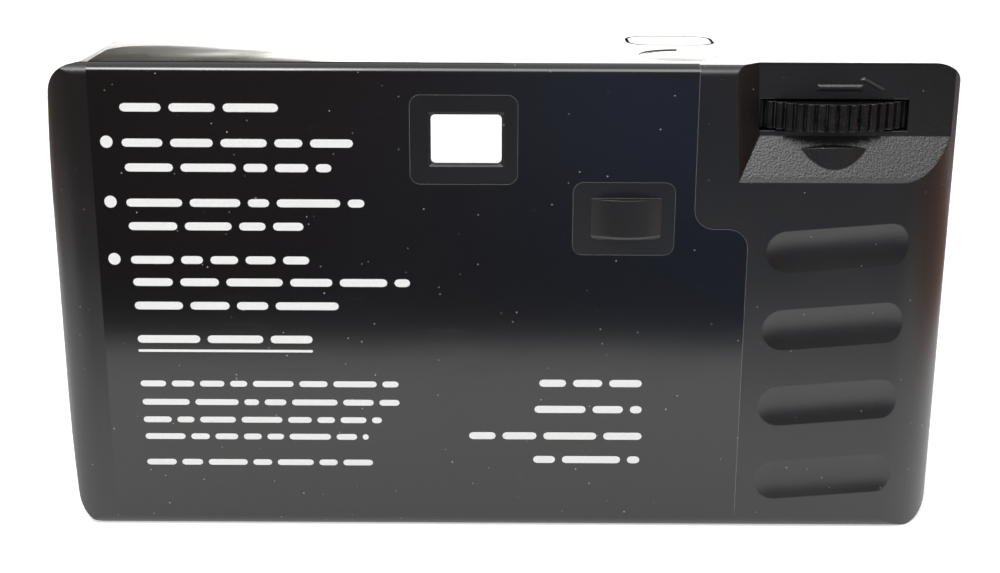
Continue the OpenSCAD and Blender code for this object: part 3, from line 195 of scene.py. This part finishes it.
def cover_plastic():
    """Black covers: fine grain that is coarser inside the thumb recess, as moulded."""
    s = Shader("cover_plastic")
    cloud = s.noise(0.07, 4.0)
    fine = s.noise(2.4, 2.0, 0.55)
    coarse = s.noise(3.6, 1.0, 0.4)
    grain = s.plus(s.times(fine, 0.22), s.times(coarse, s.times(recess_share(s), 2.9)))
    # Lighter edges: partly rubbed wear, partly painted highlight along the edges
    rubbed_and_highlight = s.times(s.edges(0.3), s.span(s.noise(0.5, 5.0), 0.4, 0.7))
    body = s.mix(cloud, (0.0045, 0.0045, 0.005, 1), (0.007, 0.0069, 0.007, 1))
    body = s.mix(rubbed_and_highlight, body, grey(0.04))
    body = s.mix(s.times(s.dust(), 0.6), body, grey(0.5))
    gloss = s.span(s.plus(cloud, s.times(fine, 0.4)), 0.3, 1.1, 0.3, 0.41)
    # Rubbed smooth on the top
    gloss = s.times(gloss, s.span(s.axis("Z"), TOP_Z - 0.5, TOP_Z - 0.1, 1.0, 0.45))
    normal = s.bump(grain, 0.32, 0.05, s.rounded(0.22, 6))
    return s.finish(color=body, rough=gloss, normal=normal, ior=1.68)


def label_film():
    """Glossy black wrap: slow waves from the adhesive, faint scuffs and dust."""
    s = Shader("label")
    wave = s.noise(0.035, 2.0)
    peel = s.noise(0.8, 2.0)
    scuff = s.span(s.noise(1.3, 6.0, 0.7, s.stretch(0.06, 1.0, 1.0)), 0.58, 0.75)
    body = s.mix(s.noise(0.05, 3.0), (0.0045, 0.0045, 0.0055, 1), (0.007, 0.007, 0.008, 1))
    body = s.mix(s.times(s.dust(), 0.8), body, grey(0.6))
    # Painted highlight on the cut edges, left out near the left end and along the foot
    off_left = s.span(s.axis("X"), LABEL_LEFT + 0.4, LABEL_LEFT + 3.4, 0.0, 0.7)
    off_foot = s.span(s.axis("Z"), LABEL_FOOT, LABEL_FOOT + 1.5)
    body = s.mix(s.times(s.edges(0.18), s.times(off_left, off_foot)), body, grey(0.3))
    # Stretched smooth where it goes over the top
    dull = s.span(s.axis("Z"), TOP_Z - 0.3, TOP_Z, 1.0, 0.3)
    gloss = s.times(s.span(scuff, 0.0, 1.0, 0.15, 0.24), dull)
    height = s.plus(s.times(wave, 6.0), s.times(peel, 0.05))
    return s.finish(color=body, rough=gloss, normal=s.bump(height, 0.12, 0.12), ior=1.64)


def print_ink():
    """White print with a slightly uneven layer."""
    s = Shader("print_ink")
    patch = s.noise(3.0, 3.0)
    body = s.mix(patch, (0.74, 0.74, 0.73, 1), (0.86, 0.86, 0.85, 1))
    gloss = s.span(patch, 0.3, 0.7, 0.35, 0.5)
    return s.finish(color=body, rough=gloss, normal=s.bump(patch, 0.1, 0.01))


def clear_plastic(name, tint, rough):
    """Polished clear moulding with a trace of flow marks."""
    s = Shader(name)
    flow = s.noise(0.25, 2.0)
    body = s.mix(flow, tint, (1, 1, 1, 1))
    gloss = s.span(flow, 0.3, 0.7, rough, rough + 0.02)
    return s.finish(color=body, rough=gloss, clear=1.0, ior=1.49, normal=s.bump(flow, 0.03, 0.02))


def sheet_metal(name, tone, rough, along=(0.05, 1.0, 1.0)):
    """Rolled or drawn metal with fine lines along one axis and a little tarnish."""
    s = Shader(name)
    lines = s.noise(6.0, 4.0, 0.6, s.stretch(*along))
    tarnish = s.noise(0.3, 4.0)
    body = s.mix(tarnish, tuple(v*0.8 for v in tone) + (1.0,), tone + (1.0,))
    drawn = s.span(lines, 0.3, 0.7, rough - 0.06, rough + 0.08)
    gloss = s.plus(drawn, s.span(tarnish, 0.3, 0.8, 0.0, 0.06))
    return s.finish(color=body, rough=gloss, metal=1.0, normal=s.bump(lines, 0.08, 0.01))


def film_base():
    """Photographic film: brown and glossy, with faint lengthwise bands."""
    s = Shader("film")
    bands = s.noise(1.2, 3.0, 0.5, s.stretch(0.03, 0.03, 1.0))
    body = s.mix(bands, (0.085, 0.05, 0.032, 1), (0.13, 0.078, 0.05, 1))
    gloss = s.span(bands, 0.3, 0.7, 0.18, 0.3)
    return s.finish(color=body, rough=gloss, normal=s.bump(bands, 0.05, 0.02))


def paper_board():
    """Brown paper laminate with its fibres."""
    s = Shader("board")
    fibre = s.noise(1.6, 5.0, 0.65, s.stretch(1.0, 1.0, 0.15))
    body = s.mix(fibre, (0.13, 0.085, 0.035, 1), (0.26, 0.18, 0.08, 1))
    gloss = s.span(fibre, 0.3, 0.7, 0.45, 0.65)
    return s.finish(color=body, rough=gloss, normal=s.bump(fibre, 0.15, 0.03))


def sleeve(name, tone, patch, rough):
    """Shrunk sleeve with paler patches and small wrinkles."""
    s = Shader(name)
    wrinkle = s.noise(0.8, 4.0, 0.6)
    pale = s.span(s.noise(0.2, 1.0), 0.5, 0.56)
    body = s.mix(s.times(pale, 0.25), tone + (1.0,), patch + (1.0,))
    gloss = s.span(wrinkle, 0.3, 0.7, rough, rough + 0.15)
    normal = s.bump(wrinkle, 0.15, 0.05)
    return s.finish(color=body, rough=gloss, normal=normal, coat=0.3, coat_rough=0.2)


def copper_winding():
    """Close turns of lacquered wire."""
    s = Shader("winding")
    inputs = {"Vector": s.place, "Scale": 0.9, "Distortion": 0.6, "Detail": 1.0}
    turns = s.node("TexWave", inputs, bands_direction="Z").outputs["Fac"]
    body = s.mix(turns, (0.16, 0.07, 0.03, 1), (0.42, 0.2, 0.09, 1))
    gloss = s.span(turns, 0, 1, 0.45, 0.28)
    return s.finish(color=body, rough=gloss, metal=0.6, normal=s.bump(turns, 0.4, 0.08))


def amber_pipe():
    """Amber light pipe with a frosted end."""
    s = Shader("lamp")
    frost = s.noise(2.0, 3.0)
    body = s.mix(frost, (0.85, 0.3, 0.06, 1), (0.95, 0.46, 0.14, 1))
    return s.finish(color=body, rough=s.span(frost, 0.3, 0.7, 0.12, 0.3), clear=0.7, ior=1.49)


def dress_nodes():
    """One material for each material name on the imported parts, on every node that uses it."""
    made = {
        "cover_plastic": cover_plastic(),
        "label": label_film(),
        "frame_plastic": moulded("frame_plastic", 0.02, 0.5),
        # The wheel's edges are lifted far above its tone: a painted highlight on the tooth tops
        "wheel_plastic": moulded("wheel_plastic", 0.005, 0.25, 0.3, 26.0, 0.28),
        "button_plastic": moulded("button_plastic", 0.012, 0.22),
        "clear_plastic": clear_plastic("clear_plastic", (0.96, 0.98, 0.98, 1), 0.03),
        "lens_plastic": clear_plastic("lens_plastic", (0.98, 0.98, 1, 1), 0.005),
        "white_plastic": moulded("white_plastic", 0.72, 0.45, 0.15, 1.05),
        "lamp": amber_pipe(),
        "film": film_base(),
        "cassette_metal": sheet_metal("cassette_metal", (0.07, 0.075, 0.085), 0.4, (1.0, 1.0, 0.05)),
        "steel": sheet_metal("steel", (0.56, 0.57, 0.58), 0.3),
        "brass": sheet_metal("brass", (0.72, 0.52, 0.22), 0.32),
        "board": paper_board(),
        "capacitor_sleeve": sleeve("capacitor_sleeve", (0.03, 0.034, 0.042), (0.4, 0.42, 0.45), 0.3),
        "winding": copper_winding(),
        "component_body": moulded("component_body", 0.3, 0.5, 0.2, 1.2),
        "battery_sleeve": sleeve("battery_sleeve", (0.06, 0.1, 0.14), (0.5, 0.5, 0.48), 0.28),
        "mirror": sheet_metal("mirror", (0.86, 0.87, 0.88), 0.14),
    }
    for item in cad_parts.values():
        for place in item.material_slots:
            name = place.material.name.split(".")[0]
            place.material = made[name]
    return made


# Pieces that the scene adds

def add_object(name, data):
    """New object in the scene."""
    item = bpy.data.objects.new(name, data)
    bpy.context.scene.collection.objects.link(item)
    return item


def add_piece(name, work, material, body):
    """New piece that rides on a body, from a bmesh in metres."""
    mesh = bpy.data.meshes.new(name)
    work.to_mesh(mesh)
    work.free()
    mesh.materials.append(material)
    piece = add_object(name, mesh)
    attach(piece, body)


def add_relief(name, build, material, body):
    """New piece from a routine that fills a bmesh in millimetres."""
    work = bmesh.new()
    build(work)
    bmesh.ops.scale(work, vec=(MM, MM, MM), verts=work.verts)
    bmesh.ops.recalc_face_normals(work, faces=work.faces)
    add_piece(name, work, material, body)


def plate(work, outline, y, height, lean):
    """Low relief from an anticlockwise outline in X and Z: a sloping rim and a face, open at the back."""
    count = len(outline)
    points = [Vector(p) for p in outline]
    inward = []
    for i in range(count):
        along = (points[(i + 1) % count] - points[i]).normalized()
        inward.append(Vector((-along.y, along.x)))
    foot = []
    face = []
    for i, point in enumerate(points):
        step = lean*(inward[i - 1] + inward[i])/(1 + inward[i - 1].dot(inward[i]))
        foot.append(work.verts.new((point.x, y, point.y)))
        face.append(work.verts.new((point.x + step.x, y - height, point.y + step.y)))
    for i in range(count):
        j = (i + 1) % count
        work.faces.new((foot[i], foot[j], face[j], face[i]))
    work.faces.new(face)


def rounded_bar(x0, x1, z0, z1, steps=4):
    """Outline of a bar with half-round ends."""
    r = (z1 - z0)/2
    points = []
    for centre, start in ((x1 - r, -90), (x0 + r, 90)):
        for i in range(steps + 1):
            angle = math.radians(start + 180*i/steps)
            points.append((centre + r*math.cos(angle), z0 + r + r*math.sin(angle)))
    return points


# Rows of the print: left end, right end, foot and height, all in millimetres
UPPER_ROWS = [(-48.5, -28.5, 56.5, 2.35), (-48.5, -17.4, 52.0, 2.3), (-48.3, -22.0, 48.8, 2.3),
              (-48.4, -17.9, 44.2, 2.3), (-48.3, -25.8, 41.1, 2.3), (-48.3, -25.2, 36.6, 2.3),
              (-48.2, -12.2, 33.6, 2.3), (-48.2, -19.6, 30.4, 2.3), (-48.1, -25.1, 25.8, 2.3)]
LOWER_ROWS = [(-48.1, -13.9, 19.8, 1.8), (-48.0, -13.8, 17.2, 1.8), (-48.0, -16.2, 14.7, 1.8),
              (-47.9, -18.0, 12.3, 1.8), (-47.9, -17.5, 8.6, 1.8)]
RIGHT_ROWS = [(4.7, 18.3, 19.9, 2.2), (4.1, 18.4, 16.2, 2.2), (-4.6, 18.5, 12.4, 2.2),
              (4.0, 18.3, 9.0, 2.2)]
# Rule under the last upper row, and the feet of the rows that have a step mark
RULE = (-48.1, -25.1, 25.0, 25.35)
MARKED_ROWS = [52.0, 44.2, 36.6]
MARK_X = (-51.2, -49.6)
MARK_LIFT = 0.3


def print_bars(work):
    """Rows of blank bars, with a rule and three round step marks."""
    dice = random.Random(11)
    ink = (LABEL_Y, 0.015, 0.012)
    for x0, x1, z, height in UPPER_ROWS + LOWER_ROWS + RIGHT_ROWS:
        tall = height*0.46
        blank = height*0.4
        foot = z + height*0.2
        x = x0
        while x < x1 - tall:
            end = min(x + height*dice.uniform(1.1, 3.6), x1)
            if x1 - end < 1.5*tall:
                end = x1
            plate(work, rounded_bar(x, end, foot, foot + tall), *ink)
            x = end + blank
    plate(work, rounded_bar(*RULE), *ink)
    across = MARK_X[1] - MARK_X[0]
    for z in MARKED_ROWS:
        plate(work, rounded_bar(*MARK_X, z + MARK_LIFT, z + MARK_LIFT + across, 8), *ink)


def arrow_relief(work):
    """Half arrow on the recess's panel that shows which way the wheel goes."""
    slope = (PANEL_Y, 0.2, 0.26)
    shaft = [(39.7, 59.35), (45.6, 59.35), (45.6, 60.2), (39.7, 60.2)]
    barb = [(47.9, 59.3), (48.4, 59.65), (45.65, 61.15), (45.05, 60.8)]
    for outline in (shaft, barb):
        plate(work, outline, *slope)


def dial_numbers(material):
    """Plain numbers on the counter dial, every second picture."""
    low, high = (Vector(corner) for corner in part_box("counter_dial"))
    middle = (low + high)/2
    radius = 4.05*MM
    lift = 0.012*MM
    count = 14
    work = bmesh.new()
    for i in range(count):
        curve = bpy.data.curves.new("number", "FONT")
        curve.body = str(2*i + 1)
        curve.size = 1.25*MM
        curve.extrude = 0.01*MM
        curve.align_x = "CENTER"
        curve.align_y = "CENTER"
        writer = add_object("number", curve)
        bpy.context.view_layer.update()
        shape = writer.evaluated_get(bpy.context.evaluated_depsgraph_get()).to_mesh()
        place = Matrix.Translation((middle.x, middle.y, high.z + lift))
        turn = Matrix.Rotation(2*math.pi*i/count, 4, "Z") @ Matrix.Translation((0, -radius, 0))
        shape.transform(place @ turn)
        work.from_mesh(shape)
        bpy.data.objects.remove(writer)
        bpy.data.curves.remove(curve)
    add_piece("dial_numbers", work, material, "frame_counter")


def bending_leaf(material):
    """The button's leaf spring, cut into short lengths across X, in place of the imported leaf."""
    low, high = (Vector(corner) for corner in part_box("button_leaf"))
    cuts = 24
    work = bmesh.new()
    work.from_mesh(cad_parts["button_leaf"].data)
    bmesh.ops.remove_doubles(work, verts=work.verts, dist=0.001*MM)
    for i in range(1, cuts):
        place = low.lerp(high, i/cuts)
        everything = work.verts[:] + work.edges[:] + work.faces[:]
        bmesh.ops.bisect_plane(work, geom=everything, plane_co=place, plane_no=(1, 0, 0))
    work.verts.index_update()
    mesh = bpy.data.meshes.new("bending_leaf")
    mesh.from_pydata([v.co for v in work.verts], [], [[v.index for v in f.verts] for f in work.faces])
    work.free()
    mesh.materials.append(material)
    piece = add_object("bending_leaf", mesh)
    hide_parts("button_leaf")
    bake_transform(piece)


# Studio, in metres

def rectangle(a, b):
    """Four corners between two pairs of values."""
    return [(a[0], b[0]), (a[1], b[0]), (a[1], b[1]), (a[0], b[1])]


def sheet(name, corners, material, camera_sees=False):
    """Flat stage sheet from its corners."""
    mesh = bpy.data.meshes.new(name)
    mesh.from_pydata(corners, [], [tuple(range(len(corners)))])
    mesh.materials.append(material)
    item = add_object(name, mesh)
    # A card that the camera doesn't see is there for reflections alone
    item.visible_camera = camera_sees
    item.visible_transmission = camera_sees
    item.visible_diffuse = camera_sees
    item.visible_shadow = camera_sees


def glow(name, color, strength=1.0):
    """Evenly glowing card."""
    material = bpy.data.materials.new(name)
    material.use_nodes = True
    nodes = material.node_tree.nodes
    nodes.remove(nodes["Principled BSDF"])
    lit = nodes.new("ShaderNodeEmission")
    lit.inputs[0].default_value = color
    lit.inputs[1].default_value = strength
    material.node_tree.links.new(lit.outputs[0], nodes["Material Output"].inputs[0])
    return material


def seen_level(tree, seen, unseen):
    """One level for what the camera, gloss and glass see, and another for the light that it gives."""
    path = tree.nodes.new("ShaderNodeLightPath")
    share = path.outputs["Is Camera Ray"]
    for name in ("Is Glossy Ray", "Is Transmission Ray"):
        either = tree.nodes.new("ShaderNodeMath")
        either.operation = "MAXIMUM"
        tree.links.new(share, either.inputs[0])
        tree.links.new(path.outputs[name], either.inputs[1])
        share = either.outputs[0]
    level = tree.nodes.new("ShaderNodeMapRange")
    level.inputs[3].default_value = unseen
    level.inputs[4].default_value = seen
    tree.links.new(share, level.inputs[0])
    return level.outputs[0]


def floor_material():
    """White paper that takes the shadow, with a share of its own light so that it stays white."""
    material = bpy.data.materials.new("floor")
    material.use_nodes = True
    tree = material.node_tree
    surface = tree.nodes["Principled BSDF"]
    surface.inputs["Base Color"].default_value = (0.85, 0.85, 0.85, 1)
    surface.inputs["Roughness"].default_value = 0.8
    surface.inputs["Specular IOR Level"].default_value = 0.0
    surface.inputs["Emission Color"].default_value = (1, 1, 1, 1)
    tree.links.new(seen_level(tree, 0.5, 0.0), surface.inputs["Emission Strength"])
    return material


def dark_room():
    """Dim table before the paper's edge: brown at both ends, blue between, darkest next to the paper."""
    material = glow("dark_room", (0, 0, 0, 1))
    tree = material.node_tree
    lit = next(n for n in tree.nodes if n.type == "EMISSION")
    place = tree.nodes.new("ShaderNodeTexCoord")
    split = tree.nodes.new("ShaderNodeSeparateXYZ")
    tree.links.new(place.outputs["Object"], split.inputs[0])

    def spread(axis, ends, levels):
        made = tree.nodes.new("ShaderNodeMapRange")
        for socket, value in zip((1, 2, 3, 4), ends + levels):
            made.inputs[socket].default_value = value
        tree.links.new(split.outputs[axis], made.inputs[0])
        return made.outputs[0]

    ramp = tree.nodes.new("ShaderNodeValToRGB")
    stops = ramp.color_ramp.elements
    left, right = -0.12, 0.12
    tints = {-0.045: (0.115, 0.085, 0.085, 1), 0.01: (0.145, 0.165, 0.235, 1), 0.06: (0.14, 0.2, 0.38, 1)}
    for x, tint in tints.items():
        stops.new((x - left)/(right - left)).color = tint
    stops[0].color = (0.085, 0.055, 0.045, 1)
    stops[-1].color = (0.16, 0.14, 0.12, 1)
    tree.links.new(spread(0, (left, right), (0.0, 1.0)), ramp.inputs[0])
    tree.links.new(ramp.outputs[0], lit.inputs[0])
    tree.links.new(spread(1, (-0.1, -0.3), (0.5, 1.2)), lit.inputs[1])
    return material


def white_world():
    """White all round, softer as light, so that a colour shows as it is written."""
    world = bpy.data.worlds.new("studio")
    world.use_nodes = True
    tree = world.node_tree
    sky = tree.nodes["Background"]
    sky.inputs[0].default_value = (1, 1, 1, 1)
    tree.links.new(seen_level(tree, 1.0, 0.72), sky.inputs[1])
    bpy.context.scene.world = world


def table_cards(far):
    """Floor of white paper, and the darker table around it that reflections see."""
    wide = (-far, far)
    paper_z = -0.00002
    table_z = 0.0004
    paper_near = -0.092
    sides_end = 0.12
    front_start = 0.15
    room_reach = 0.9
    sheet("floor", [(x, y, paper_z) for x, y in rectangle(wide, wide)], floor_material(), True)
    room = dark_room()
    sheet("table", [(x, y, table_z) for x, y in rectangle(wide, (-far, paper_near))], room)
    wall = rectangle((-room_reach, room_reach), (0, room_reach))
    sheet("room_wall", [(x, -room_reach, z) for x, z in wall], room)
    front = [(x, y, table_z) for x, y in rectangle(wide, (front_start, far))]
    sheet("table_front", front, glow("table_front", (0.13, 0.12, 0.115, 1)))
    sides = {"table_left": (-0.18, (0.3, 0.2, 0.155, 1)), "table_right": (0.13, (0.45, 0.23, 0.17, 1))}
    for name, (near, color) in sides.items():
        reach = (near, math.copysign(far, near))
        corners = [(x, y, table_z) for x, y in rectangle(reach, (paper_near, sides_end))]
        sheet(name, corners, glow(name, color))


def wall_cards():
    """Brown walls at the sides."""
    walls = {"wall_left": (-0.8, (0.2, 0.13, 0.1, 1)), "wall_right": (0.8, (0.22, 0.12, 0.09, 1))}
    for name, (x, color) in walls.items():
        sheet(name, [(x, y, z) for y, z in rectangle((-0.9, 0.4), (0.0, 0.75))], glow(name, color))


def backdrop_cards():
    """Bright backdrop, on the left only a low strip in front of a dark card."""
    cream = (1, 0.985, 0.95, 1)
    bright_y = 0.5
    dark_y = 0.52
    split_x = -0.04
    foot = 0.02
    bright = [(x, bright_y, z) for x, z in rectangle((split_x, 0.9), (foot, 0.3))]
    sheet("backdrop", bright, glow("backdrop", cream, 3.2))
    strip = [(-0.6, foot), (split_x, foot), (split_x, 0.15), (-0.09, 0.14), (-0.19, 0.1295), (-0.6, 0.122)]
    sheet("low_strip", [(x, bright_y, z) for x, z in strip], glow("low_strip", cream, 5.0))
    dark = [(x, dark_y, z) for x, z in rectangle((-0.8, 0.0), (0.0, 0.6))]
    sheet("dark_card", dark, glow("dark_card", (0.14, 0.125, 0.1, 1)))


def area_light(name, place, target, size, radiance):
    """Soft box of an even radiance, aimed at a point."""
    data = bpy.data.lights.new(name, "AREA")
    data.shape = "RECTANGLE"
    data.size, data.size_y = size
    data.energy = math.pi*size[0]*size[1]*radiance
    item = add_object(name, data)
    item.location = place
    item.rotation_euler = (Vector(target) - Vector(place)).to_track_quat("-Z", "Y").to_euler()
    item.visible_camera = False
    item.visible_transmission = False


def build_studio():
    """World, paper, reflection cards and two lamps."""
    white_world()
    table_cards(1.6)
    wall_cards()
    backdrop_cards()
    middle = (0, 0, 0.03)
    area_light("lamp", (-0.2, -0.45, 0.66), middle, (0.2, 0.2), 12.0)
    area_light("soft_box", (0.03, -0.46, 0.74), middle, (0.5, 0.32), 4.0)


def build_camera():
    """Viewpoint of the photograph: behind the camera's back, above it, a trace of roll."""
    pitch, yaw, roll = (math.radians(angle) for angle in (16.83, -0.071, 0.234))
    eye = Vector((-0.29, -213.04, 93.31))*MM
    ahead = Vector((math.sin(yaw)*math.cos(pitch), math.cos(yaw)*math.cos(pitch), -math.sin(pitch)))
    right = Vector((math.cos(yaw), -math.sin(yaw), 0))
    up = right.cross(ahead)
    tilted = right*math.cos(roll) + up*math.sin(roll)
    upright = up*math.cos(roll) - right*math.sin(roll)
    turn = Matrix((tilted, upright, -ahead)).transposed()
    data = bpy.data.cameras.new("viewpoint")
    data.sensor_fit = "HORIZONTAL"
    data.sensor_width = 36
    data.lens = 56.57
    data.clip_start = 0.005
    item = add_object("viewpoint", data)
    item.matrix_world = Matrix.Translation(eye) @ turn.to_4x4()
    bpy.context.scene.camera = item


finishes = dress_nodes()
add_relief("label_print", print_bars, print_ink(), "camera_body")
add_relief("wind_arrow", arrow_relief, finishes["cover_plastic"], "camera_body")
dial_numbers(finishes["frame_plastic"])
bending_leaf(finishes["steel"])
build_studio()
build_camera()
bpy.context.scene.view_settings.view_transform = "Standard"
